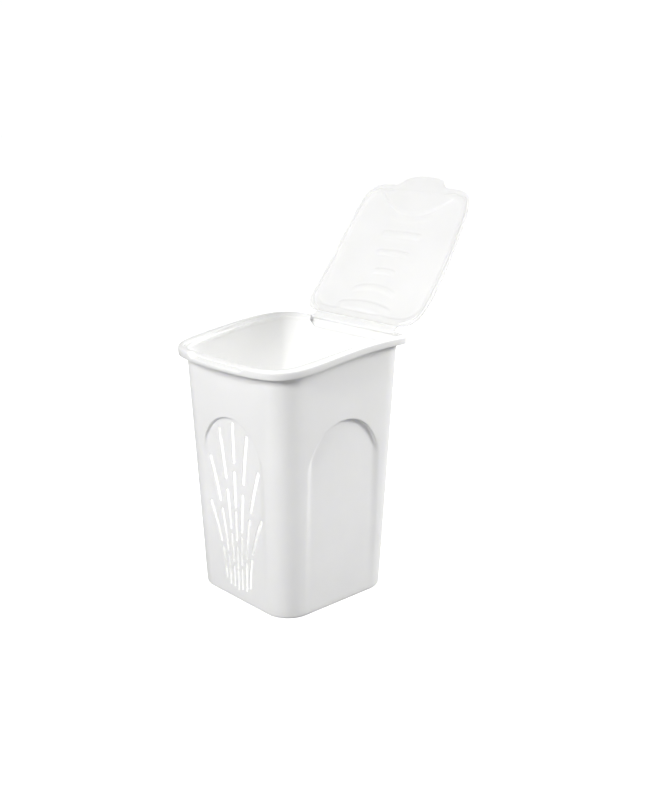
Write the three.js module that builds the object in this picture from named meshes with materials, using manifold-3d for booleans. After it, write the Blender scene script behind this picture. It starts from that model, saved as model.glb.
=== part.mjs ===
// A tall laundry hamper in white polypropylene: a tapered tub with arched side panels and air slots,
// a waved rim collar round its mouth, and a lid that turns on two pegs at the back of the collar.
// Millimetres, +Z up, front towards -Y, origin at the centre of the base. The lid stands open.
import * as THREE from 'three';
import { mergeVertices } from 'three/addons/utils/BufferGeometryUtils.js';
import Module from 'manifold-3d';

const wasm = await Module();
wasm.setup();

// ---- driving dimensions ----
const clearance = 0.3;
const facetsPerSide = 20;

const tub = {
  baseHalf: 150, // half the width of the square base
  taper: 0.0393, // how much each wall leans out per millimetre of height
  cornerRadius: 58,
  wall: 2.2,
  floor: 3,
  footRound: 6,
};

// The arched panels stand steeper than the walls: flush at the foot, sunk by `depth` at the arch's top.
const panel = { halfWidth: 92.4, springHeight: 312, depth: 7 };

// The slots are dashes along seven curved reeds that fan out from the middle of the front panel.
// Each reed has its foot's distance from the centre line, how fast it splays, and its dashes.
const slotRules = { lowWidth: 6.2, widening: 0.011, splayFrom: 30 };
const reeds = [
  { foot: 0, splay: 0, dashes: [[27, 67], [76, 120], [140, 199], [214, 285], [311, 390]] },
  { foot: 13, splay: 2.7, dashes: [[32, 73], [89, 145], [163, 241], [271, 371]] },
  { foot: 27, splay: 6.8, dashes: [[33, 92], [109, 193], [216, 303]] },
  { foot: 39, splay: 14.8, dashes: [[43, 106], [125, 202]] },
];

const rim = {
  sideOverhang: 19.24, // how far it stands out from the tub at the sides
  depthOverhang: 8.24, // and at the front and back, before the bulges
  frontBulge: 24,
  backBulge: 8,
  frontPower: 5.9, // higher powers make squarer corners
  backPower: 7.1,
  height: 541, // mean height of the crest, before the wave
  wave: { tilt: 11.2, arch: 11.2, skew: 9.3 },
  skirt: 17,
  draft: 0.8, // the skirt's foot is drawn in by this much
  shoulder: { width: 4, drop: 5 }, // the rounding from the skirt up to the crest
  sheet: 2.5,
  ledgeDrop: 6.5, // the lid's ledge lies this far below the crest
  ledgeWidth: 4.5, // how far the ledge reaches in under the lid at least
  lipOver: 1.5, // how far it reaches in past the tub's wall at least
  wallRoom: 2.6, // the slot it leaves outside the tub's wall
};

// The dip in the front of the rim that lets a thumb under the lid's tab.
const dip = { halfWidth: 76, ramp: 18, drop: 8.5 };

const lid = {
  backInset: 7.3, // from the rim's back, before its bulge, to the closed lid's back edge
  frontInset: 3, // the same at the front, beside the tab
  frontBulge: 4.6,
  sideInset: 7.76, // from the tub's side to the lid's, at the front and back
  sideBow: 9,
  skew: 4,
  backSpread: 5,
  frontPower: 8,
  backPower: 9,
  sheet: 2.5,
  sideGap: 1.5,
  rib: { gap: 1.5, width: 2, height: 5 }, // it hangs inside the mouth and centres the lid
  rise: 3, // the panel's step up from the flange
  riseWidth: 4,
  dome: 3,
};

const tab = { rootHalf: 70, tipHalf: 55, reach: 26, arch: 8, cornerRadius: 9 };

const hinge = {
  inset: 4.5, // from the rim's back, before its bulge
  sink: 2.32, // below the crest
  openAngle: 131.4, // degrees from closed
  barrelHalf: 125.5,
  barrelRadius: 3.6,
  pegRadius: 2.7,
  pegLength: 4.8,
  pegPlay: 0.4,
  lug: 5.2,
  endGap: 0.7,
  wallGap: 0.6, // between the barrel and the trough's back wall
  lipDrop: 0.8, // the trough's lip lies this far below the crest
  setback: 14, // from the axis to the back edge of the lid's flange
};

// ---- solids ----
function solidOf(geometry) {
  const bare = geometry.clone();
  bare.deleteAttribute('normal');
  bare.deleteAttribute('uv');
  const merged = mergeVertices(bare, 1e-4);
  const mesh = new wasm.Mesh({
    numProp: 3,
    vertProperties: new Float32Array(merged.attributes.position.array),
    triVerts: new Uint32Array(merged.index.array),
  });
  return new wasm.Manifold(mesh);
}

function geometryOf(solid) {
  const mesh = solid.getMesh();
  const geometry = new THREE.BufferGeometry();
  geometry.setAttribute('position', new THREE.BufferAttribute(mesh.vertProperties, 3));
  geometry.setIndex(new THREE.BufferAttribute(mesh.triVerts, 1));
  geometry.computeVertexNormals();
  return geometry;
}

// Joins rings of points, each in the same order round the object, into one closed body. A loop of
// rings closes on itself; otherwise the first and last rings are capped with a fan.
function loft(rings, isLoop) {
  const count = rings[0].length;
  const points = rings.flat();
  const faces = [];
  const lastRing = isLoop ? rings.length : rings.length - 1;
  for (let r = 0; r < lastRing; r++) {
    const here = r * count;
    const next = ((r + 1) % rings.length) * count;
    for (let i = 0; i < count; i++) {
      const j = (i + 1) % count;
      faces.push([here + i, here + j, next + j], [here + i, next + j, next + i]);
    }
  }
  const cap = (ring, start, flip) => {
    const middle = [0, 1, 2].map((k) => ring.reduce((sum, p) => sum + p[k], 0) / count);
    const hub = points.length;
    points.push(middle);
    for (let i = 0; i < count; i++) {
      const edge = [start + i, start + ((i + 1) % count)];
      faces.push([hub, ...(flip ? edge.reverse() : edge)]);
    }
  };
  if (!isLoop) {
    cap(rings[0], 0, true);
    cap(rings[rings.length - 1], (rings.length - 1) * count, false);
  }
  const geometry = new THREE.BufferGeometry();
  geometry.setAttribute('position', new THREE.Float32BufferAttribute(points.flat(), 3));
  geometry.setIndex(faces.flat());
  return solidOf(geometry);
}

function box(x0, x1, y0, y1, z0, z1) {
  const geometry = new THREE.BoxGeometry(x1 - x0, y1 - y0, z1 - z0);
  return solidOf(geometry.translate((x0 + x1) / 2, (y0 + y1) / 2, (z0 + z1) / 2));
}

// A rod or hole along X.
function rodAlongX(x0, x1, y, z, radius, sides) {
  const geometry = new THREE.CylinderGeometry(radius, radius, x1 - x0, sides);
  return solidOf(geometry.rotateZ(Math.PI / 2).translate((x0 + x1) / 2, y, z));
}

// A prism along X from its outline of [y, z] points.
function prismAlongX(halfLength, outline) {
  const shape = new THREE.Shape(outline.map(([y, z]) => new THREE.Vector2(y, z)));
  const geometry = new THREE.ExtrudeGeometry(shape, { depth: 2 * halfLength, bevelEnabled: false });
  geometry.rotateX(Math.PI / 2).rotateZ(Math.PI / 2);
  return solidOf(geometry.translate(-halfLength, 0, 0));
}

// ---- plan outlines, each a function of a direction from the middle ----
// The directions crowd towards the corners, where the outlines bend.
const directions = [];
for (let side = 0; side < 4; side++) {
  for (let i = 0; i < facetsPerSide; i++) {
    const s = -1 + (2 * i) / facetsPerSide;
    directions.push(Math.PI * (side / 2 + (s + (0.6 * Math.sin(Math.PI * s)) / Math.PI) / 4));
  }
}

function roundedSquare(direction, half, radius) {
  const c = Math.abs(Math.cos(direction));
  const s = Math.abs(Math.sin(direction));
  const flat = half - radius;
  let reach = half / Math.max(c, s);
  if (reach * Math.min(c, s) > flat) {
    const along = flat * (c + s);
    reach = along + Math.sqrt(along * along - 2 * flat * flat + radius * radius);
  }
  return [Math.cos(direction) * reach, Math.sin(direction) * reach];
}

function unitSuperellipse(direction, frontPower, backPower) {
  const c = Math.cos(direction);
  const s = Math.sin(direction);
  const power = s < 0 ? frontPower : backPower;
  const size = (Math.abs(c) ** power + Math.abs(s) ** power) ** (1 / power);
  return [c / size, s / size];
}

function tubHalf(z) {
  return tub.baseHalf + tub.taper * z;
}

const rimHalfWidth = tubHalf(rim.height) + rim.sideOverhang;
const rimHalfDepth = tubHalf(rim.height) + rim.depthOverhang;
const lidHalfWidth = tubHalf(rim.height) - lid.sideInset;
const lidBack = rimHalfDepth - lid.backInset;
const lidFront = -rimHalfDepth + lid.frontInset;
const lidMiddle = (lidBack + lidFront) / 2;

function tubOutline(direction, inset, z) {
  return roundedSquare(direction, tubHalf(z) - inset, tub.cornerRadius - inset);
}

function rimOutline(direction, inset) {
  const [x, y] = unitSuperellipse(direction, rim.frontPower, rim.backPower);
  const bulge = (y < 0 ? -rim.frontBulge : rim.backBulge) * (1 - x * x) * Math.abs(y) ** 3;
  return [x * (rimHalfWidth - inset), y * (rimHalfDepth - inset) + bulge];
}

function lidOutline(direction, inset) {
  const [x, y] = unitSuperellipse(direction, lid.frontPower, lid.backPower);
  const bow = (lid.sideBow + lid.skew * y) * (1 - y * y) + lid.backSpread * y;
  const bulge = y < 0 ? -lid.frontBulge * (1 - x * x) * Math.abs(y) ** 3 : 0;
  return [x * (lidHalfWidth + bow - inset), lidMiddle + y * (lidBack - lidMiddle - inset) + bulge];
}

function bearingOf([x, y]) {
  return Math.atan2(y, x);
}

// The mouth left open by the rim's ledge: inside the tub's wall and inside the lid's edge.
function throatOutline(direction, inset) {
  const fromLid = lidOutline(direction, rim.ledgeWidth + inset);
  const fromWall = tubOutline(bearingOf(fromLid), tub.wall + rim.lipOver + inset, rim.height);
  return Math.hypot(...fromWall) < Math.hypot(...fromLid) ? fromWall : fromLid;
}

// The inner side of the channel under the rim: outside the tub's wall and the recess for the lid.
function channelOutline(direction, inset) {
  const fromLid = lidOutline(direction, inset - lid.sideGap - rim.sheet);
  const fromWall = tubOutline(bearingOf(fromLid), inset - rim.wallRoom, rim.height);
  return Math.hypot(...fromWall) > Math.hypot(...fromLid) ? fromWall : fromLid;
}

// Height of the rim's crest: low in front, highest behind the middle.
function crest(y) {
  const t = THREE.MathUtils.clamp(y / rimHalfDepth, -1, 1);
  return rim.height + rim.wave.tilt * t + (rim.wave.arch + rim.wave.skew * t) * (1 - t * t);
}

const hingeY = rimHalfDepth - hinge.inset;
const hingeZ = crest(hingeY) - hinge.sink;

function ringAt(outline, inset, heightAt) {
  return directions.map((direction) => {
    const [x, y] = outline(direction, inset);
    return [x, y, heightAt(x, y)];
  });
}

// ---- tub ----
const wallTopDrop = rim.ledgeDrop + rim.sheet + clearance;

function tubShell(inset, floorHeight, topAt) {
  const level = (extra, z) => ringAt((d, i) => tubOutline(d, i, z), inset + extra, () => z);
  const round = tub.footRound;
  const top = directions.map((direction) => {
    const rough = tubOutline(direction, inset, rim.height);
    const z = topAt(rough[1]);
    return [...tubOutline(direction, inset, z), z];
  });
  const foot = [0, 1, 2].map((k) => {
    const turn = (k * Math.PI) / 4;
    return level(round * (1 - Math.sin(turn)), floorHeight + round * (1 - Math.cos(turn)));
  });
  return loft([...foot, top], false);
}

// An arched block standing outside one wall, `depth` in from the panel's face.
function archBlock(side, grow, depth) {
  const half = panel.halfWidth + grow;
  const below = -20;
  const shape = new THREE.Shape();
  shape.moveTo(-half, below);
  shape.lineTo(half, below);
  shape.lineTo(half, panel.springHeight);
  shape.absarc(0, panel.springHeight, half, 0, Math.PI, false);
  const geometry = new THREE.ExtrudeGeometry(shape, { depth: 60, bevelEnabled: false, curveSegments: 16 });
  const lean = tub.taper - panel.depth / (panel.springHeight + panel.halfWidth);
  geometry.rotateX(Math.PI / 2 + Math.atan(lean));
  geometry.translate(0, -(tub.baseHalf - depth), 0);
  return solidOf(geometry.rotateZ((side * Math.PI) / 2));
}

function reedOffset(reed, z) {
  return reed.foot + reed.splay * (Math.max(z - slotRules.splayFrom, 0) / 100) ** 2;
}

// One slot: a bowed, round-ended dash along its reed, a little wider at the top.
function slotCutter(reed, [low, high], mirror) {
  const edgePoint = (z, turn) => {
    const lean = Math.atan(mirror * (reedOffset(reed, z + 1) - reedOffset(reed, z)));
    const angle = THREE.MathUtils.degToRad(turn) - lean;
    const half = (slotRules.lowWidth + slotRules.widening * z) / 2;
    const middle = mirror * reedOffset(reed, z);
    return new THREE.Vector2(middle + half * Math.cos(angle), z + half * Math.sin(angle));
  };
  const levels = [low, (low + high) / 2, high];
  const outline = [
    ...[-135, -90, -45].map((turn) => edgePoint(low, turn)),
    ...levels.map((z) => edgePoint(z, 0)),
    ...[45, 90, 135].map((turn) => edgePoint(high, turn)),
    ...levels.reverse().map((z) => edgePoint(z, 180)),
  ];
  const depth = 60;
  const geometry = new THREE.ExtrudeGeometry(new THREE.Shape(outline), { depth, bevelEnabled: false });
  geometry.rotateX(Math.PI / 2);
  return solidOf(geometry.translate(0, -tub.baseHalf + depth / 2, 0));
}

function makeTub() {
  const outside = tubShell(0, 0, (y) => crest(y) - wallTopDrop);
  const inside = tubShell(tub.wall, tub.floor, (y) => crest(y) + 30);
  const sides = [0, 1, 2, 3];
  const shell = sides.reduce((body, side) => body.subtract(archBlock(side, 0, 0)), outside);
  const cavity = sides.reduce((body, side) => body.subtract(archBlock(side, tub.wall, tub.wall)), inside);
  let body = shell.subtract(cavity);
  for (const reed of reeds) {
    const mirrors = reed.foot > 0 ? [-1, 1] : [1];
    for (const mirror of mirrors) {
      for (const dash of reed.dashes) {
        body = body.subtract(slotCutter(reed, dash, mirror));
      }
    }
  }
  return body;
}

// ---- rim collar ----
// How much of the front dip applies at a point: one in the middle, falling to nought at the ramps.
function dipShare(x, y) {
  if (y > 0) {
    return 0;
  }
  return 1 - THREE.MathUtils.smoothstep(Math.abs(x), dip.halfWidth, dip.halfWidth + dip.ramp);
}

// A ring of the collar, `height` above the crest, sinking to `dipped` in the front dip.
function collarRing(outline, inset, height, dipped = height) {
  return ringAt(outline, inset, (x, y) => crest(y) + height + (dipped - height) * dipShare(x, y));
}

const trough = {
  back: hingeY + hinge.barrelRadius + hinge.wallGap,
  floor: hingeZ - hinge.barrelRadius - hinge.wallGap,
  half: hinge.barrelHalf + hinge.endGap,
  plate: 2,
};

function makeCollar() {
  const { width, drop } = rim.shoulder;
  const ledge = -rim.ledgeDrop;
  const foot = -rim.skirt;
  const dipTop = -dip.drop;
  const rings = [
    collarRing(rimOutline, rim.draft, foot),
    collarRing(rimOutline, 0, -drop, dipTop - 0.6 * drop),
    collarRing(rimOutline, 0.3 * width, -0.3 * drop, dipTop - 0.2 * drop),
    collarRing(rimOutline, width, 0, dipTop),
    collarRing(lidOutline, -lid.sideGap - width / 2, 0, dipTop),
    collarRing(lidOutline, -lid.sideGap, -width / 2, dipTop),
    collarRing(lidOutline, -lid.sideGap, ledge),
    collarRing(throatOutline, 0, ledge),
    collarRing(throatOutline, 0, ledge - rim.sheet),
    collarRing(channelOutline, 0, ledge - rim.sheet),
    collarRing(channelOutline, 0, -rim.sheet, dipTop - rim.sheet),
    collarRing(rimOutline, rim.sheet, -rim.sheet, dipTop - rim.sheet),
    collarRing(rimOutline, rim.sheet + rim.draft, foot),
  ];
  let body = loft(rings, true);

  // The trough for the lid's barrel, with a floor, a back wall and a lug at each end.
  const plateBack = trough.back + trough.plate;
  const plateFoot = trough.floor - rim.sheet;
  const wallFace = tubHalf(rim.height) + 2 * clearance;
  const lugEnd = trough.half + hinge.lug;
  const lipTop = crest(trough.back) - hinge.lipDrop;
  const mouthEdge = lidBack - 2 * rim.ledgeWidth;
  const aboveRim = rim.height + 40;
  body = body.subtract(box(-trough.half, trough.half, mouthEdge, trough.back, trough.floor, aboveRim));
  body = body.add(prismAlongX(lugEnd, [
    [wallFace, plateFoot],
    [plateBack, plateFoot],
    [plateBack, lipTop],
    [trough.back, lipTop],
    [trough.back, trough.floor],
    [wallFace, trough.floor],
  ]));
  const socket = hinge.pegRadius + hinge.pegPlay;
  const lugFront = hingeY - socket - rim.sheet;
  const lugFoot = crest(lugFront) - rim.ledgeDrop - rim.sheet / 2;
  for (const mirror of [-1, 1]) {
    const ends = [mirror * trough.half, mirror * lugEnd].sort((a, b) => a - b);
    body = body.add(box(...ends, lugFront, plateBack, lugFoot, lipTop));
    body = body.subtract(rodAlongX(ends[0] - 1, ends[1] + 1, hingeY, hingeZ, socket, 16));
  }
  return body;
}

// ---- lid, modelled closed ----
const flangeDrop = rim.ledgeDrop - clearance;

function lidRing(outline, inset, height) {
  return ringAt(outline, inset, (x, y) => crest(y) - flangeDrop + height);
}

// Rings of the panel inside the rib, drawn in towards the middle as it domes up.
function panelRings(height) {
  const edge = ringAt(throatOutline, lid.rib.gap + lid.rib.width + lid.riseWidth, () => 0);
  return [1, 0.75, 0.5, 0.25].map((share) => {
    const lift = height + lid.rise + lid.dome * (1 - share * share);
    return edge.map(([x, y]) => {
      const inner = lidMiddle + (y - lidMiddle) * share;
      return [x * share, inner, crest(inner) - flangeDrop + lift];
    });
  });
}

function tabBlank() {
  const shape = new THREE.Shape();
  const tip = lidFront - lid.frontBulge - tab.reach;
  const shoulder = tip + tab.arch;
  const round = tab.cornerRadius;
  shape.moveTo(-tab.rootHalf, lidFront);
  shape.lineTo(-tab.tipHalf - round / 2, shoulder + round);
  shape.quadraticCurveTo(-tab.tipHalf, shoulder, -tab.tipHalf + round, shoulder - round / 4);
  shape.quadraticCurveTo(0, tip - tab.arch / 2, tab.tipHalf - round, shoulder - round / 4);
  shape.quadraticCurveTo(tab.tipHalf, shoulder, tab.tipHalf + round / 2, shoulder + round);
  shape.lineTo(tab.rootHalf, lidFront);
  shape.closePath();
  const options = { depth: lid.sheet, bevelEnabled: false, curveSegments: 5 };
  const geometry = new THREE.ExtrudeGeometry(shape, options);
  return solidOf(geometry.translate(0, 0, crest(lidFront) - flangeDrop));
}

// The tongue that joins the panel to the barrel. Its top meets the trough's lip at the open angle.
function tongueBlank() {
  const open = THREE.MathUtils.degToRad(hinge.openAngle);
  const lipOut = trough.back - hingeY;
  const lipUp = crest(trough.back) - hingeZ;
  const top = hingeZ + lipOut * Math.sin(open) + lipUp * Math.cos(open) - clearance;
  const edge = hingeY - hinge.barrelRadius;
  const root = hingeY - hinge.setback - lid.riseWidth;
  return prismAlongX(hinge.barrelHalf, [
    [root, crest(edge) - flangeDrop + clearance],
    [edge, crest(edge) - flangeDrop + clearance],
    [hingeY - 1, top - lid.sheet],
    [hingeY, top - lid.sheet],
    [hingeY, top],
    [root + lid.riseWidth, top],
    [root, top - lid.sheet / 2],
  ]);
}

function makeLid() {
  const { gap, width, height } = lid.rib;
  const edgeRound = 0.4;
  const rings = [
    ...panelRings(0).reverse(),
    lidRing(throatOutline, gap + width, 0),
    lidRing(throatOutline, gap + width, -height),
    lidRing(throatOutline, gap, -height),
    lidRing(throatOutline, gap, 0),
    lidRing(lidOutline, edgeRound, 0),
    lidRing(lidOutline, 0, lid.sheet / 2),
    lidRing(lidOutline, edgeRound, lid.sheet),
    lidRing(throatOutline, gap + width, lid.sheet),
    ...panelRings(lid.sheet),
  ];
  let body = loft(rings, false).add(tabBlank());
  const flangeBack = hingeY - hinge.setback;
  body = body.subtract(box(-rimHalfWidth, rimHalfWidth, flangeBack, hingeY + 10, hingeZ - 20, hingeZ + 20));
  body = body.add(tongueBlank());
  body = body.add(rodAlongX(-hinge.barrelHalf, hinge.barrelHalf, hingeY, hingeZ, hinge.barrelRadius, 16));
  const pegEnd = hinge.barrelHalf + hinge.pegLength;
  return body.add(rodAlongX(-pegEnd, pegEnd, hingeY, hingeZ, hinge.pegRadius, 12));
}

// ---- assembly ----
const polypropylene = { color: 0xf4f4f3, roughness: 0.42, metalness: 0 };

function piece(name, solid) {
  const mesh = new THREE.Mesh(geometryOf(solid), new THREE.MeshStandardMaterial(polypropylene));
  mesh.name = name;
  return mesh;
}

const hamper = new THREE.Group();
hamper.add(piece('tub', makeTub()));
hamper.add(piece('rim_collar', makeCollar()));

const lidPiece = piece('lid', makeLid());
lidPiece.position.set(0, -hingeY, -hingeZ);
const lidSwing = new THREE.Group();
lidSwing.position.set(0, hingeY, hingeZ);
lidSwing.rotation.x = -THREE.MathUtils.degToRad(hinge.openAngle);
lidSwing.add(lidPiece);
hamper.add(lidSwing);

export default hamper;
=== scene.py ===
import math

import bmesh
import bpy
from mathutils import Matrix, Vector


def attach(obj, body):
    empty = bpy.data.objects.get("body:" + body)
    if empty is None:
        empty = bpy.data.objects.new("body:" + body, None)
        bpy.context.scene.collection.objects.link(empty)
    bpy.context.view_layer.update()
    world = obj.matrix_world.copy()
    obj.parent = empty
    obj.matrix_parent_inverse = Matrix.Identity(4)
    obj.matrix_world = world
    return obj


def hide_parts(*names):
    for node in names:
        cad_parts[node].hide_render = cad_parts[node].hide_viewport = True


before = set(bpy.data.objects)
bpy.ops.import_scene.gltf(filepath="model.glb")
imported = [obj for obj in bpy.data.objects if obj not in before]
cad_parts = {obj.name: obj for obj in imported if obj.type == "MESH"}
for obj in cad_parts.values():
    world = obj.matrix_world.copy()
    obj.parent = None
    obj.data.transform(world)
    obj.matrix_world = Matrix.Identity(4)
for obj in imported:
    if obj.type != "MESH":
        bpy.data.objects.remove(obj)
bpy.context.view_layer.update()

MM = 0.001

# ---- the part's dimensions, in millimetres ----
BASE_HALF, TAPER, CORNER, WALL, FLOOR, FOOT = 150.0, 0.0393, 58.0, 2.2, 3.0, 6.0
ARCH_R, SPRING, STEP = 92.4, 312.0, 7.0
RIM_Z = 541.0  # mean height of the rim's crest, before its wave
TILT, ARCH, SKEW = 11.2, 11.2, 9.3  # the wave
RIM_SIDE, RIM_DEPTH = 19.24, 8.24  # how far the rim stands out from the tub
RIM_FRONT_BULGE, RIM_BACK_BULGE = 24.0, 8.0
RIM_FRONT_POWER, RIM_BACK_POWER = 5.9, 7.1  # higher powers make squarer corners
SKIRT, RIM_ROUND = 17.0, 4.6
DIP_HALF, DIP_RAMP, DIP_DROP = 76, 18, 8.5
LEDGE, LEDGE_IN, LIP_IN = 6.5, 4.5, 1.5  # the ledge: depth, reach in under the lid, in past the wall
POCKET_GAP = 1.5  # round the closed lid
LID_SIDE_IN, LID_BACK_IN, LID_FRONT_IN = 7.76, 7.3, 3.0
LID_BOW, LID_SKEW, LID_SPREAD, LID_BULGE = 9, 4, 5, 4.6
LID_FRONT_POWER, LID_BACK_POWER = 8.0, 9.0
LID_REAR = 161.5  # where the lid's flange ends, short of the hinge
LID_REST = 0.3  # the closed lid's clearance above its ledge
HINGE_Y, HINGE_Z, OPEN = 175.0, 550.6, 131.4
BARREL, BARREL_HALF, PEG, PEG_LEN, PLAY = 3.6, 125.5, 2.7, 4.8, 0.4
TROUGH_BACK, TROUGH_HALF, LUG, PLATE = 179.2, 126.2, 5.2, 2.0
SLOT_LOW, SLOT_WIDENING, SPLAY_FROM = 6.2, 0.011, 30
PANEL_SLOPE = STEP / (SPRING + ARCH_R)  # the panels sink by this much per millimetre of height


def clamp(v, lo=0.0, hi=1.0):
    return max(lo, min(hi, v))


def smooth(v, lo=0.0, hi=1.0):
    t = clamp((v - lo) / (hi - lo))
    return t * t * (3 - 2 * t)


def mix(a, b, t):
    return a + (b - a) * t


def tub_half(z):
    return BASE_HALF + TAPER * z


RIM_HALF_W = tub_half(RIM_Z) + RIM_SIDE
RIM_HALF_D = tub_half(RIM_Z) + RIM_DEPTH
LID_HALF_W = tub_half(RIM_Z) - LID_SIDE_IN
LID_BACK = RIM_HALF_D - LID_BACK_IN
LID_FRONT = -RIM_HALF_D + LID_FRONT_IN
LID_MID = (LID_BACK + LID_FRONT) / 2


def crest(y):
    """Height of the rim's crest at a depth."""
    t = clamp(y / RIM_HALF_D, -1, 1)
    return RIM_Z + TILT * t + (ARCH + SKEW * t) * (1 - t * t)


# ---- plan outlines: a point for each direction a, inset by some millimetres ----
def rounded_square(a, half, radius):
    c, s = abs(math.cos(a)), abs(math.sin(a))
    flat = half - radius
    reach = half / max(c, s)
    if reach * min(c, s) > flat:
        along = flat * (c + s)
        reach = along + math.sqrt(along * along - 2 * flat * flat + radius * radius)
    return math.cos(a) * reach, math.sin(a) * reach


def superellipse(a, front, back):
    c, s = math.cos(a), math.sin(a)
    p = front if s < 0 else back
    size = (abs(c) ** p + abs(s) ** p) ** (1 / p)
    return c / size, s / size


def rim_line(a, inset, z=0):
    x, y = superellipse(a, RIM_FRONT_POWER, RIM_BACK_POWER)
    bulge = (-RIM_FRONT_BULGE if y < 0 else RIM_BACK_BULGE) * (1 - x * x) * abs(y) ** 3
    return x * (RIM_HALF_W - inset), y * (RIM_HALF_D - inset) + bulge


def lid_line(a, inset, z=0, back=LID_BACK):
    x, y = superellipse(a, LID_FRONT_POWER, LID_BACK_POWER)
    bow = (LID_BOW + LID_SKEW * y) * (1 - y * y) + LID_SPREAD * y
    bulge = -LID_BULGE * (1 - x * x) * abs(y) ** 3 if y < 0 else 0
    depth = (back if y > 0 else LID_BACK) - LID_MID
    return x * (LID_HALF_W + bow - inset), LID_MID + y * (depth - inset) + bulge


def tub_line(a, inset, z):
    return rounded_square(a, tub_half(z) - inset, CORNER - inset)


def throat_line(a, inset, z=0):
    """The mouth: the nearer of a line inside the lid's edge and one inside the tub's wall."""
    lid = lid_line(a, LEDGE_IN + inset)
    wall = tub_line(math.atan2(lid[1], lid[0]), WALL + LIP_IN + inset, RIM_Z)
    return wall if math.hypot(*wall) < math.hypot(*lid) else lid


# ---- building meshes ----
def finish_mesh(name, verts, faces, sharp=38, scale=MM):
    mesh = bpy.data.meshes.new(name)
    mesh.from_pydata([tuple(c * scale for c in v) for v in verts], [], faces)
    bm = bmesh.new()
    bm.from_mesh(mesh)
    bmesh.ops.remove_doubles(bm, verts=bm.verts, dist=2e-5)
    bmesh.ops.dissolve_degenerate(bm, dist=1e-6, edges=bm.edges)
    bmesh.ops.recalc_face_normals(bm, faces=bm.faces)
    bm.to_mesh(mesh)
    bm.free()
    obj = bpy.data.objects.new(name, mesh)
    bpy.context.scene.collection.objects.link(obj)
    obj["sharp"] = sharp
    return obj


def shade(obj):
    mesh = obj.data
    mesh.shade_smooth()
    mesh.set_sharp_from_angle(angle=math.radians(obj["sharp"]))
    del obj["sharp"]


def loft(name, rings, loop, sharp=38):
    n = len(rings[0])
    verts = [p for ring in rings for p in ring]
    faces = []
    for r in range(len(rings) if loop else len(rings) - 1):
        a, b = r * n, ((r + 1) % len(rings)) * n
        faces += [(a + i, a + (i + 1) % n, b + (i + 1) % n, b + i) for i in range(n)]
    if not loop:
        for start in (0, (len(rings) - 1) * n):
            hub = len(verts)
            ring = verts[start:start + n]
            verts.append(tuple(sum(p[k] for p in ring) / n for k in range(3)))
            faces += [(hub, start + i, start + (i + 1) % n) for i in range(n)]
    return finish_mesh(name, verts, faces, sharp)


def prism_x(name, half, outline):
    n = len(outline)
    rings = [[(x, y, z) for y, z in outline] for x in (-half, half)]
    verts = rings[0] + rings[1]
    faces = [(i, (i + 1) % n, n + (i + 1) % n, n + i) for i in range(n)]
    faces += [tuple(range(n)), tuple(range(n, 2 * n))]
    return finish_mesh(name, verts, faces)


def rod_x(name, x0, x1, y, z, radius, sides=48, round_end=0.0):
    stations = [(x0, radius), (x1, radius)]
    if round_end > 0:
        tip = radius - round_end
        stations = [(x0, tip), (x0 + round_end, radius), (x1 - round_end, radius), (x1, tip)]
    rings = []
    for x, r in stations:
        turn = [2 * math.pi * i / sides for i in range(sides)]
        rings.append([(x, y + r * math.cos(t), z + r * math.sin(t)) for t in turn])
    return loft(name, rings, False)


def block(name, x0, x1, y0, y1, z0, z1):
    outline = [(y0, z0), (y1, z0), (y1, z1), (y0, z1)]
    obj = prism_x(name, (x1 - x0) / 2, outline)
    obj.data.transform(Matrix.Translation(((x0 + x1) / 2 * MM, 0, 0)))
    return obj


def boolean(obj, others, operation):
    for other in others:
        mod = obj.modifiers.new("cut", "BOOLEAN")
        mod.operation = operation
        mod.solver = "MANIFOLD"
        mod.object = other
        bpy.context.view_layer.update()
        graph = bpy.context.evaluated_depsgraph_get()
        mesh = bpy.data.meshes.new_from_object(obj.evaluated_get(graph))
        obj.modifiers.clear()
        old = obj.data
        obj.data = mesh
        bpy.data.meshes.remove(old)
        bpy.data.objects.remove(other)
    return obj


# ---- tub ----
# The recess's edge in section, as (distance out from the arch's line, share of the depth):
# crisp round the arch's top and soft down its legs.
STEP_HARD = [(-14, 1), (-8, 1), (-4, 1), (-1.9, 1), (-1.1, .96), (-.55, .86), (-.3, .72),
             (-.1, .28), (.15, .13), (.65, .03), (1.4, 0), (3, 0), (6, 0), (10, 0)]
STEP_SOFT = [(-14, 1), (-11, .985), (-8.6, .95), (-6.4, .88), (-4.4, .78), (-2.7, .68), (-1, .57),
             (.5, .46), (2, .35), (3.6, .24), (5.2, .14), (6.8, .07), (8.4, .02), (10, 0)]
EDGE_REACH = 14  # the recess's edge starts this far in from the arch's line
LEG_STEPS, ARCH_STEPS, TOP_STEPS, FOOT_STEPS = 32, 26, 22, 6
WALL_TOP = 9.3  # the wall ends this far below the crest
LOW_TOP = 529.0  # and here behind the mouth, under the hinge trough


def wall_point(u, z, out, turn):
    """A point on the side that faces `turn`: u runs along the wall and round its corners."""
    half = tub_half(z)
    flat = half - CORNER
    if abs(u) <= flat:
        x, y = u, -(half + out)
    else:
        a = (abs(u) - flat) / CORNER
        x = math.copysign(flat + (CORNER + out) * math.sin(a), u)
        y = -(flat + (CORNER + out) * math.cos(a))
    c, s = math.cos(turn), math.sin(turn)
    return c * x - s * y, s * x + c * y, z


def edge_u(z):
    return tub_half(z) - CORNER + CORNER * math.pi / 4


def top_of(u, turn, lowered):
    z = RIM_Z - WALL_TOP
    for _ in range(6):
        x, y = wall_point(clamp(u, -edge_u(z), edge_u(z)), z, 0, turn)[:2]
        z = crest(y) - WALL_TOP
    if lowered and y > 150:
        z = mix(LOW_TOP, z, smooth(abs(x), BARREL_HALF, BARREL_HALF + 5))
    return z


def corner_top(side, turn):
    z = RIM_Z
    for _ in range(8):
        z = top_of(side * edge_u(z), turn, False)
    return z


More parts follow.
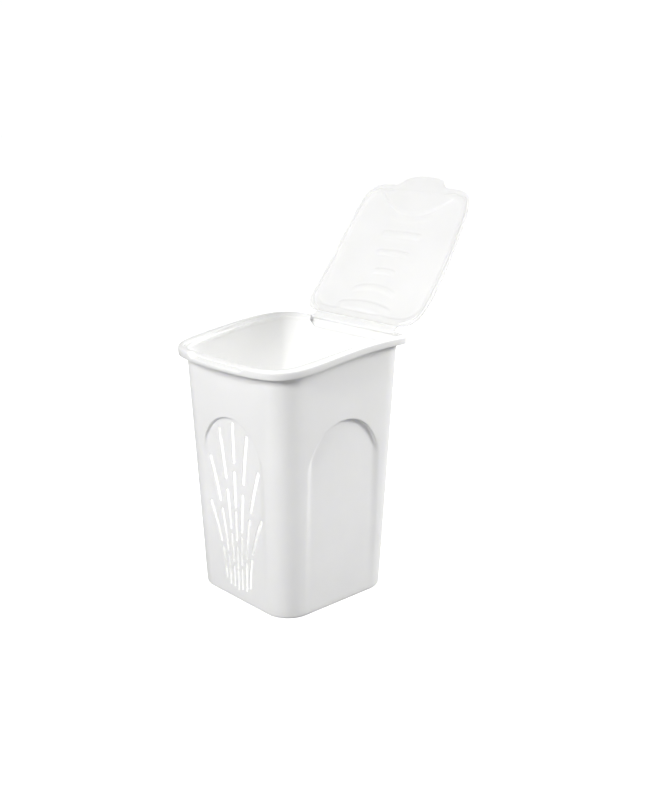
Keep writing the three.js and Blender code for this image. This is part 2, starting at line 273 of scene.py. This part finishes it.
def tub_paths(turn):
    """Rays from the panel's spine to the side's edge: (start, direction, far end, angle up from level)."""
    rays = []
    for side in (-1, 1):
        zc = corner_top(side, turn)
        ray = []
        for k in range(LEG_STEPS + 1):
            z = FOOT + (SPRING - FOOT) * k / LEG_STEPS
            ray.append(((0, z), (side * 1.0, 0.0), (side * edge_u(z), z), 0.0))
        phi_c = math.atan2(zc - SPRING, edge_u(zc))
        for k in range(1, ARCH_STEPS + 1):
            phi = phi_c * k / ARCH_STEPS
            rho = (edge_u(0) + TAPER * SPRING) / (math.cos(phi) - TAPER * math.sin(phi))
            end = (side * rho * math.cos(phi), SPRING + rho * math.sin(phi))
            ray.append(((0, SPRING), (side * math.cos(phi), math.sin(phi)), end, phi))
        for k in range(1, TOP_STEPS + 1):
            phi = mix(phi_c, math.pi / 2, k / TOP_STEPS)
            z = zc
            for _ in range(12):
                u = side * (z - SPRING) / math.tan(phi) if phi < math.pi / 2 - 1e-9 else 0.0
                z = top_of(u, turn, True)
            ray.append(((0, SPRING), (side * math.cos(phi), math.sin(phi)), (u, z), phi))
        rays.append(ray)
    return rays[0] + rays[1][::-1]


def tub_column(ray, inner):
    (u0, z0), (du, dz), (ue, ze), phi = ray
    hard = smooth(phi, 0.0, 0.62)
    line = ARCH_R + (WALL if inner else 0)
    base_out = -WALL if inner else 0.0
    points = []
    for k in range(7):
        r = (line - EDGE_REACH) * k / 7
        z = z0 + dz * r
        points.append((u0 + du * r, z, base_out - PANEL_SLOPE * z))
    for (dh, fh), (ds, fs) in zip(STEP_HARD, STEP_SOFT):
        r = line + mix(ds, dh, hard)
        z = z0 + dz * r
        points.append((u0 + du * r, z, base_out - PANEL_SLOPE * z * mix(fs, fh, hard)))
    ua, za = points[-1][:2]
    for k in range(1, 23):
        t = k / 22
        points.append((mix(ua, ue, t), mix(za, ze, t), base_out))
    return points


def tub_sheet(inner):
    """One face of the wall, all four sides: its mesh, its bottom edge and its top edge."""
    verts, faces, ring, tops = [], [], [], []
    for q in range(4):
        turn = q * math.pi / 2
        rays = tub_paths(turn)
        low_z = FLOOR if inner else 0.0

        def level(ray, z):
            end = (math.copysign(edge_u(z), ray[2][0]), z)
            return tub_column(((0, z), ray[1], end, 0.0), inner)

        def foot(ray):
            steps = []
            for k in range(FOOT_STEPS):
                a = math.pi / 2 * k / FOOT_STEPS
                pts = level(ray, low_z + FOOT * (1 - math.cos(a)))
                steps.append([(u, z, out - FOOT * (1 - math.sin(a))) for u, z, out in pts])
            if inner:
                steps.append(level(ray, low_z + FOOT))
            return steps

        body = [tub_column(r, inner) for r in rays]
        if inner:
            body = body[1:-1]
        columns = foot(rays[0]) + body + foot(rays[-1])[::-1]
        start = len(verts)
        width = len(columns[0])
        for col in columns:
            verts += [wall_point(u, z, out, turn) for u, z, out in col]
        for c in range(len(columns) - 1):
            for k in range(width - 1):
                a = start + c * width + k
                faces.append((a, a + 1, a + width + 1, a + width))
        first = start
        last = start + (len(columns) - 1) * width
        ring.append([first + width - 1 - k for k in range(width)] + [last + k for k in range(1, width)])
        tops.append([start + c * width + width - 1 for c in range(len(columns))])
    return verts, faces, ring, tops


def make_tub():
    verts, faces, ring, tops_out = tub_sheet(False)
    for loop in ring:
        hub = len(verts)
        verts.append((0, 0, 0))
        faces += [(hub, loop[i], loop[i + 1]) for i in range(len(loop) - 1)]
    base = len(verts)
    iverts, ifaces, iring, tops_in = tub_sheet(True)
    verts += iverts
    faces += [tuple(base + i for i in f) for f in ifaces]
    for loop in iring:
        hub = len(verts)
        verts.append((0, 0, FLOOR))
        faces += [(hub, base + loop[i], base + loop[i + 1]) for i in range(len(loop) - 1)]
    # the wall's top joins the far ends of the rays between one corner and the next
    for outer, inner in zip(tops_out, tops_in):
        mid_out = len(outer) // 2
        mid_in = len(inner) // 2
        for k in range(-TOP_STEPS - 1, TOP_STEPS):
            a, b = mid_out + k, mid_out + k + 1
            c, d = mid_in + k, mid_in + k + 1
            faces.append((outer[a], outer[b], base + inner[d], base + inner[c]))
    return finish_mesh("hamper_tub", verts, faces, sharp=42)


# each reed: its foot's distance from the centre line, how fast it splays, and its dashes' heights
REEDS = [(0, 0, [(27, 67), (76, 120), (140, 199), (214, 285), (311, 390)]),
         (13, 2.7, [(32, 73), (89, 145), (163, 241), (271, 371)]),
         (27, 6.8, [(33, 92), (109, 193), (216, 303)]),
         (39, 14.8, [(43, 106), (125, 202)])]


def slot_cutter(foot, splay, low, high, mirror):
    def middle(z):
        return mirror * (foot + splay * (max(z - SPLAY_FROM, 0) / 100) ** 2)

    def edge(z, turn, grow):
        lean = math.atan(middle(z + 0.5) - middle(z - 0.5))
        a = math.radians(turn) - lean
        half = (SLOT_LOW + SLOT_WIDENING * z) / 2 + grow
        return middle(z) + half * math.cos(a), z + half * math.sin(a)

    rings = []
    for depth, grow in ((-12, 0.6), (0, 0.6), (0.6, 0), (WALL - 0.5, 0), (WALL, 0.5), (14, 0.5)):
        pts = [edge(low, -180 + 15 * k, grow) for k in range(1, 12)]
        pts += [edge(mix(low, high, k / 8), 0, grow) for k in range(9)]
        pts += [edge(high, 15 * k, grow) for k in range(1, 12)]
        pts += [edge(mix(high, low, k / 8), 180, grow) for k in range(9)]
        rings.append([(x, -(tub_half(z) - PANEL_SLOPE * z) + depth, z) for x, z in pts])
    return loft("slot", rings, False)


# ---- rim ----
def dip_share(x, y):
    return 0.0 if y > 0 else 1 - smooth(abs(x), DIP_HALF, DIP_HALF + DIP_RAMP)


def rim_profile():
    """Points of the rim's section: outline, inset, height from the crest, height in the dip."""
    pts = [(rim_line, 1.4, -SKIRT, -SKIRT), (rim_line, .95, -16.8, -16.8), (rim_line, .8, -16.2, -16.2),
           (rim_line, .3, -10, -13.5)]
    for k in range(8):
        a = math.pi / 2 * k / 7
        z = -RIM_ROUND * (1 - math.sin(a))
        pts.append((rim_line, RIM_ROUND * (1 - math.cos(a)), z, -DIP_DROP + .55 * z))
    for k in range(1, 5):
        pts.append(("crest", k / 5, 0, -DIP_DROP))
    for k in range(6):
        a = math.pi / 2 * k / 5
        z = -1.9 * (1 - math.cos(a))
        pts.append((lid_line, -3.4 + 1.9 * math.sin(a), z, -DIP_DROP + .3 * z))
    pts += [(lid_line, -POCKET_GAP, -5.2, -8.2), (lid_line, -1.35, -5.9, -7.3), (lid_line, -.9, -6.4, -6.6),
            (lid_line, -.2, -LEDGE, -LEDGE), (throat_line, -1.5, -LEDGE, -LEDGE),
            (throat_line, -.9, -6.62, -6.62), (throat_line, -.35, -7.0, -7.0),
            (throat_line, -.06, -7.6, -7.6), (throat_line, 0, -8.6, -8.6), (throat_line, -.1, -11, -11),
            (tub_line, WALL - .1, -16, -16), (tub_line, WALL - .6, -SKIRT, -SKIRT),
            (tub_line, WALL - 1, -9.6, -9.6), (tub_line, -.4, -9.2, -9.8), (tub_line, -.6, -5, -9.9),
            (tub_line, -1.6, -3, -10.6), (rim_line, RIM_ROUND, -2.6, -10.9), (rim_line, 3.0, -4.4, -11.6),
            (rim_line, 2.7, -8, -13), (rim_line, 3.2, -16.7, -16.7), (rim_line, 2.9, -SKIRT, -SKIRT)]
    return pts


def rim_angles():
    """Directions crowd at the corners."""
    angles = []
    for side in range(4):
        for i in range(110):
            s = -1 + 2 * i / 110
            angles.append(math.pi * (side / 2 + (s + 0.6 * math.sin(math.pi * s) / math.pi) / 4))
    return angles


def make_rim():
    angles = rim_angles()
    rings = []
    for line, inset, dz, dz_dip in rim_profile():
        ring = []
        for a in angles:
            if line == "crest":
                x0, y0 = rim_line(a, RIM_ROUND)
                x1, y1 = lid_line(a, -3.4)
                x, y = mix(x0, x1, inset), mix(y0, y1, inset)
                lift = 0.5 * math.sin(math.pi * inset)
            else:
                lift = 0.0
                x, y = line(a, inset, RIM_Z + dz)
                if line is tub_line:
                    x, y = line(a, inset, crest(y) + dz)
            ring.append((x, y, crest(y) + lift + mix(dz, dz_dip, dip_share(x, y))))
        rings.append(ring)
    rim = loft("hamper_rim", rings, True, sharp=75)
    lip = crest(TROUGH_BACK)
    away = block("cut", -TROUGH_HALF, TROUGH_HALF, 140, TROUGH_BACK, 515, 600)
    slope = [(178, 548), (TROUGH_BACK, 551.2), (181.2, lip + .6), (182, 600), (178, 600)]
    flare = prism_x("cut", TROUGH_HALF, slope)
    boolean(rim, [away, flare], "DIFFERENCE")
    outer = TROUGH_BACK + PLATE
    chute = [(168.4, 528.4), (168.2, 527), (169.2, 525.2), (171.7, 525.2), (174.5, 530)]
    chute += [(outer - .6, 539.5), (outer, 541.5), (outer, 550), (outer - .4, 551.2)]
    chute += [(TROUGH_BACK + .4, 551.2), (TROUGH_BACK, 550.7), (TROUGH_BACK, 547.6)]
    chute += [(TROUGH_BACK - .3, 546.4), (TROUGH_BACK - 1, 545.1), (173.6, 535.6), (169.2, 529.4)]
    parts = [prism_x("chute", TROUGH_HALF + LUG, chute)]
    socket = PEG + PLAY
    front = HINGE_Y - socket - 2.5
    lug = [(front + .8, 545.4), (front, 546.2), (front, 550.4), (front + 1.6, 551.9)]
    lug += [(181, 551.9), (181, 540), (176, 540)]
    spans = [sorted((m * TROUGH_HALF, m * (TROUGH_HALF + LUG))) for m in (-1, 1)]
    for x0, x1 in spans:
        ear = prism_x("lug", LUG / 2, lug)
        ear.data.transform(Matrix.Translation(((x0 + x1) / 2 * MM, 0, 0)))
        parts.append(ear)
    boolean(rim, parts, "UNION")
    bores = [rod_x("bore", x0 - 1, x1 + 1, HINGE_Y, HINGE_Z, socket) for x0, x1 in spans]
    boolean(rim, bores, "DIFFERENCE")
    return rim


# ---- lid, built closed and then swung open ----
# half of the tab's front edge, as (distance from the centre line, reach forward)
TAB = [(0, 206.8), (13, 206.3), (26, 205.0), (38, 202.9), (46, 200.9), (51, 199.2), (54.5, 197.3),
       (57, 195), (60, 191.6), (64, 187.6), (67.5, 184.4), (70.5, 182.2), (74, 180.6), (78, 179.6)]
# ripples and creases in the panel: front, back, half width, depth
RIPPLES = ((-66, -54, 55, 2.2), (-20, -9, 45, 2.2), (26, 37, 28, 2.2))
CREASES = ((68, 80, 55, 1.8), (113, 138, 72, 2.8))


def tab_reach(x):
    x = abs(x)
    for (xa, ya), (xb, yb) in zip(TAB, TAB[1:]):
        if x <= xb:
            return -mix(ya, yb, (x - xa) / (xb - xa))
    return 0.0


def lid_edge(a, inset):
    x, y = lid_line(a, inset, back=LID_REAR)
    if y < -150 and abs(x) < 78:
        reach = tab_reach(x) + inset
        y = min(y, reach) if abs(x) < 74 else mix(min(y, reach), y, (abs(x) - 74) / 4)
    return x, y


def emboss(x, y):
    """How far the panel is pressed down at a point, in mm, apart from the scoop."""
    ax = abs(x)
    down = 0.7 * smooth(-90 - 9 * (x / 54) ** 2 - y, -3, 3) * (1 - smooth(ax, 48, 70))
    down *= smooth(y, -120, -104)
    for y0, y1, w, deep in RIPPLES:
        bow = 2.0 * (x / w) ** 2
        band = smooth(y, y0 - 1.5 + bow, y0 + 1.5 + bow) - smooth(y, y1 - 2.5 + bow, y1 + 2.5 + bow)
        down += deep * band * (1 - smooth(ax, w - 6, w + 8))
    for y0, y1, w, deep in CREASES:
        bow = 9.0 * (x / w) ** 2
        band = smooth(y, y0 - 4 + bow, y0 + 4 + bow) - smooth(y, y1 - 6 + bow, y1 + 6 + bow)
        down += deep * band * (1 - smooth(ax, w - 8, w + 14))
    return down


def lid_angles():
    """Directions crowd at the corners, and the front has more of them, for the tab."""
    angles = []
    for side in range(4):
        n, crowd = (170, 0.25) if side == 3 else (96, 0.6)
        for i in range(n):
            s = -1 + 2 * i / n
            angles.append(math.pi * (side / 2 + (s + crowd * math.sin(math.pi * s) / math.pi) / 4))
    return angles


def make_lid():
    angles = lid_angles()
    sheet, rib_h, rib_w, gap = 2.3, 2.6, 3.4, 1.6
    inner = gap + rib_w

    def base(y):
        return crest(y) - LEDGE + LID_REST

    def edge_ring(inset, h):
        return [(x, y, base(y) + h) for x, y in (lid_edge(a, inset) for a in angles)]

    def rib_share(x, y):
        behind = smooth(y, 120, 150) * (1 - smooth(abs(x), 124, 132))
        under_tab = smooth(-y, 130, 150) * (1 - smooth(abs(x), 70, 90))
        return (1 - behind) * (1 - 0.9 * under_tab)

    def inside(a, inset):
        x, y = throat_line(a, inset)
        if y < 100:
            return x, y
        drawn_in = y * (LID_REAR - 2.2 - inset) / 166.0
        return x, min(y, mix(y, drawn_in, smooth(y, 100, 150)))

    def rib_ring(inset, h, low=0.0):
        pts = (inside(a, inset) for a in angles)
        return [(x, y, base(y) + h - low * rib_share(x, y)) for x, y in pts]

    def panel_rings(h, count=64):
        rings = []
        for k in range(count):
            share = 1 - k / count
            ring = []
            for a in angles:
                x, y = inside(a, inner + 2.5)
                x, y = x * share, LID_MID + (y - LID_MID) * share
                edge = (1 - share) * 165
                lift = 3.0 * smooth(edge, 0, 7) + 3.0 * (1 - share * share)
                scoop = smooth(-108 - 31 * (x / 86) ** 2 - y, -2.5, 3.5)
                lift = lift * (1 - scoop * 0.92) - emboss(x, y) * (1 - scoop)
                ring.append((x, y, base(y) + h + lift))
            rings.append(ring)
        return rings

    under = panel_rings(0.0)[::-1]
    rib = [(inner + .6, 0), (inner, .4), (inner - .5, rib_h - .5), (inner - 1.1, rib_h),
           (gap + 1, rib_h), (gap + .4, rib_h - .5), (gap, .3), (gap - .5, 0)]
    edge = [(3.6, 0), (2.6, -.2), (1.8, -.55), (.9, -.6), (.3, -.2), (0, .6), (0, 1.6), (.35, 2.3),
            (1.1, 2.7), (2.2, 2.7), (3.2, sheet)]
    under += [rib_ring(inset, 0, low) for inset, low in rib]
    under += [edge_ring(inset, h) for inset, h in edge]
    top = [rib_ring(gap, sheet), rib_ring(inner, sheet)] + panel_rings(sheet)
    lid = loft("hamper_lid", under + top, False, sharp=48)
    top_z = HINGE_Z + (TROUGH_BACK - HINGE_Y) * math.sin(math.radians(OPEN))
    top_z += (crest(TROUGH_BACK) - HINGE_Z) * math.cos(math.radians(OPEN)) - 0.3
    tongue = [(146, base(146) + 3.4), (154, base(154) + 2.4), (160, 551.0), (167, 548.8), (171.6, 547.4)]
    tongue += [(HINGE_Y, 547.0), (HINGE_Y + 1, top_z - .2), (HINGE_Y - 1, top_z), (168, top_z)]
    tongue += [(162, 553.4), (152, base(152) + 5.0)]
    pegs_half = BARREL_HALF + PEG_LEN
    parts = [prism_x("tongue", BARREL_HALF, tongue),
             rod_x("barrel", -BARREL_HALF, BARREL_HALF, HINGE_Y, HINGE_Z, BARREL, 64, 0.5),
             rod_x("pegs", -pegs_half, pegs_half, HINGE_Y, HINGE_Z, PEG, 48, 0.5)]
    boolean(lid, parts, "UNION")
    pivot = Vector((0, HINGE_Y, HINGE_Z)) * MM
    turn = Matrix.Rotation(-math.radians(OPEN), 4, "X")
    lid.data.transform(Matrix.Translation(pivot) @ turn @ Matrix.Translation(-pivot))
    return lid


# ---- materials ----
def node(tree, kind, **values):
    n = tree.nodes.new(kind)
    for key, value in values.items():
        if key in n.inputs:
            n.inputs[key].default_value = value
        else:
            setattr(n, key, value)
    return n


def polypropylene(name, colour, seed, roughness=0.42):
    mat = bpy.data.materials.new(name)
    mat.use_nodes = True
    tree = mat.node_tree
    link = tree.links.new
    shader = tree.nodes["Principled BSDF"]
    shader.inputs["IOR"].default_value = 1.49
    shader.inputs["Subsurface Weight"].default_value = 0.5
    shader.inputs["Subsurface Radius"].default_value = (0.9, 0.9, 1.0)
    shader.inputs["Subsurface Scale"].default_value = 0.0035
    where = node(tree, "ShaderNodeTexCoord")
    place = node(tree, "ShaderNodeMapping")
    place.inputs["Location"].default_value = (seed * 1.7, seed * 0.9, seed * 2.3)
    link(where.outputs["Object"], place.inputs["Vector"])
    flow = node(tree, "ShaderNodeTexNoise", Scale=7.0, Detail=3.0, Roughness=0.5)
    cloud = node(tree, "ShaderNodeTexNoise", Scale=60.0, Detail=4.0, Roughness=0.6)
    grain = node(tree, "ShaderNodeTexNoise", Scale=1900.0, Detail=2.0, Roughness=0.5)
    for n in (flow, cloud, grain):
        link(place.outputs["Vector"], n.inputs["Vector"])
    tone = node(tree, "ShaderNodeValToRGB")
    tone.color_ramp.elements[0].position = 0.3
    tone.color_ramp.elements[1].position = 0.7
    tone.color_ramp.elements[0].color = (*[c * 0.975 for c in colour], 1)
    tone.color_ramp.elements[1].color = (*[min(1, c * 1.008) for c in colour], 1)
    link(flow.outputs["Fac"], tone.inputs["Fac"])
    link(tone.outputs["Color"], shader.inputs["Base Color"])
    gloss = node(tree, "ShaderNodeMapRange")
    gloss.inputs["To Min"].default_value = roughness - 0.05
    gloss.inputs["To Max"].default_value = roughness + 0.06
    link(cloud.outputs["Fac"], gloss.inputs["Value"])
    link(gloss.outputs["Result"], shader.inputs["Roughness"])
    bump = node(tree, "ShaderNodeBump", Strength=0.12, Distance=0.0002)
    link(grain.outputs["Fac"], bump.inputs["Height"])
    wave = node(tree, "ShaderNodeBump", Strength=0.10, Distance=0.0012)
    link(flow.outputs["Fac"], wave.inputs["Height"])
    link(bump.outputs["Normal"], wave.inputs["Normal"])
    link(wave.outputs["Normal"], shader.inputs["Normal"])
    return mat


# ---- assembly ----
tub = make_tub()
cutters = []
for foot_x, splay, dashes in REEDS:
    for low, high in dashes:
        for mirror in ((-1, 1) if foot_x else (1,)):
            cutters.append(slot_cutter(foot_x, splay, low, high, mirror))
boolean(tub, cutters, "DIFFERENCE")
rim = make_rim()
lid = make_lid()

LOOKS = {"tub": polypropylene("white_pp_tub", (0.90, 0.90, 0.895), 1),
         "rim_collar": polypropylene("white_pp_rim", (0.905, 0.905, 0.90), 2, 0.38),
         "lid": polypropylene("white_pp_lid", (0.91, 0.91, 0.905), 3, 0.40)}
for obj, cad, body in ((tub, "tub", "hamper"), (rim, "rim_collar", "hamper"), (lid, "lid", "lid")):
    shade(obj)
    obj.data.materials.clear()
    obj.data.materials.append(LOOKS[cad])
    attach(obj, body)
    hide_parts(cad)

# ---- stage, light and camera ----
floor_mesh = bpy.data.meshes.new("studio_floor")
FLOOR_REACH, FLOOR_Z = 30.0, -0.0006
floor_corners = [(x * FLOOR_REACH, y * FLOOR_REACH, FLOOR_Z) for x, y in ((-1, -1), (1, -1), (1, 1), (-1, 1))]
floor_mesh.from_pydata(floor_corners, [], [(0, 1, 2, 3)])
floor = bpy.data.objects.new("studio_floor", floor_mesh)
bpy.context.scene.collection.objects.link(floor)
floor_mat = bpy.data.materials.new("studio_white")
floor_mat.use_nodes = True
fb = floor_mat.node_tree.nodes["Principled BSDF"]
fb.inputs["Base Color"].default_value = (0.93, 0.93, 0.93, 1)
fb.inputs["Roughness"].default_value = 0.9
fb.inputs["Specular IOR Level"].default_value = 0.1
fb.inputs["Emission Color"].default_value = (1, 1, 1, 1)
fb.inputs["Emission Strength"].default_value = 0.7
floor_mesh.materials.append(floor_mat)
floor.visible_diffuse = False
floor.visible_glossy = False

world = bpy.data.worlds.new("studio")
bpy.context.scene.world = world
world.use_nodes = True
wt = world.node_tree
back = wt.nodes["Background"]
back.inputs["Color"].default_value = (1, 1, 1, 1)


def maths(operation, a, b):
    n = wt.nodes.new("ShaderNodeMath")
    n.operation = operation
    for socket, value in zip(n.inputs, (a, b)):
        if isinstance(value, (int, float)):
            socket.default_value = value
        else:
            wt.links.new(value, socket)
    return n.outputs[0]


# an overhead softbox without edges: bright at the zenith, dim at the horizon, plain white behind the object
towards = wt.nodes.new("ShaderNodeTexCoord")
parts = wt.nodes.new("ShaderNodeSeparateXYZ")
wt.links.new(towards.outputs["Generated"], parts.inputs[0])
height = maths("MAXIMUM", parts.outputs["Z"], 0.0)
lobe = maths("MULTIPLY", maths("POWER", height, 8.0), 1.7)
below = maths("MULTIPLY", maths("LESS_THAN", parts.outputs["Z"], 0.0), 0.36)
glow = maths("ADD", maths("ADD", lobe, below), 0.06)
path = wt.nodes.new("ShaderNodeLightPath")
seen = path.outputs["Is Camera Ray"]
hidden = maths("SUBTRACT", 1.0, seen)
level = maths("ADD", maths("MULTIPLY", glow, hidden), maths("MULTIPLY", seen, 1.02))
wt.links.new(level, back.inputs["Strength"])


def area(name, where, aim, size, power):
    light = bpy.data.lights.new(name, "AREA")
    light.shape = "RECTANGLE"
    light.size, light.size_y = size
    light.energy = power
    obj = bpy.data.objects.new(name, light)
    obj.location = where
    obj.rotation_euler = (Vector(aim) - Vector(where)).to_track_quat("-Z", "Y").to_euler()
    bpy.context.scene.collection.objects.link(obj)


area("front", (0.5, -3.35, 2.4), (0, 0, 0.35), (1.3, 1.3), 124)
area("right", (2.35, 3.3, 2.3), (0, 0, 0.4), (1.8, 1.8), 200)

# daylight that the thin plastic lets through into the hamper
glow_data = bpy.data.lights.new("inside", "POINT")
glow_data.energy = 0.66
glow_data.shadow_soft_size = 0.09
inside_light = bpy.data.objects.new("inside", glow_data)
inside_light.location = (-0.03, -0.03, 0.22)
inside_light.visible_camera = False
inside_light.visible_glossy = False
bpy.context.scene.collection.objects.link(inside_light)

camera_data = bpy.data.cameras.new("camera")
camera_data.lens = 47.373
camera_data.sensor_width = 36
camera = bpy.data.objects.new("camera", camera_data)
camera.location = (1.6301, -1.4052, 1.0111)
azimuth = math.radians(47.504)
elevation = math.radians(15.759)
flat = math.cos(elevation)
aim = Vector((-math.sin(azimuth) * flat, math.cos(azimuth) * flat, -math.sin(elevation)))
camera.rotation_euler = aim.to_track_quat("-Z", "Y").to_euler()
bpy.context.scene.collection.objects.link(camera)
bpy.context.scene.camera = camera
bpy.context.scene.view_settings.view_transform = "Standard"
